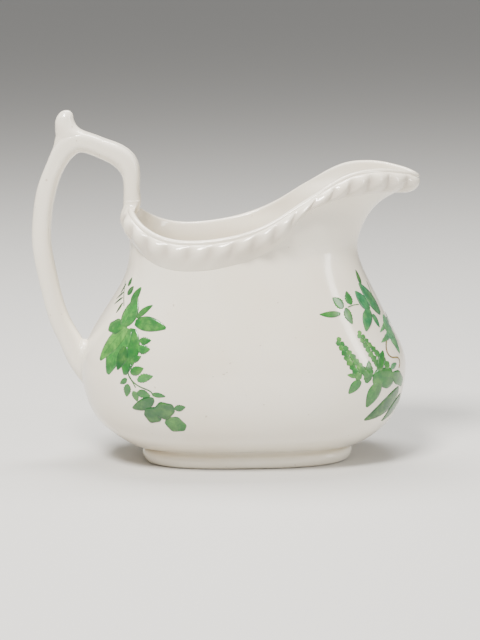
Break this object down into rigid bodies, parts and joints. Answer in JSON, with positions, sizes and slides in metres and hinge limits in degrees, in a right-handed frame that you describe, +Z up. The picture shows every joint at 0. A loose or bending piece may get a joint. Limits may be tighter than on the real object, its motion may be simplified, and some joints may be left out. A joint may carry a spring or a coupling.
{
  "type": "porcelain cream jug",
  "caption": "Oval porcelain cream jug with a low foot ring, wide pouring lip, gadrooned border under the rim and a high loop handle with a thumb rest.",
  "frame": {"origin": "on the table, under the middle of the jug's overall length, depth at the mid-plane", "axes": "+X from the handle towards the spout, +Y to the jug's left side, +Z up"},
  "size_m": [0.14, 0.0732, 0.1269],
  "materials": {
    "porcelain_glaze": "clear gloss glaze over warm ivory white porcelain",
    "bare_foot": "gloss glaze, wiped off the resting face, which is matt biscuit porcelain"
  },
  "bodies": {
    "root": {"vessel_body": "porcelain_glaze", "foot_ring": "bare_foot", "gadroon_border_left": "porcelain_glaze", "gadroon_border_right": "porcelain_glaze", "handle_loop": "porcelain_glaze", "thumb_rest": "porcelain_glaze", "upper_slip_joint": "porcelain_glaze", "lower_slip_joint": "porcelain_glaze"}
  },
  "joints": []
}
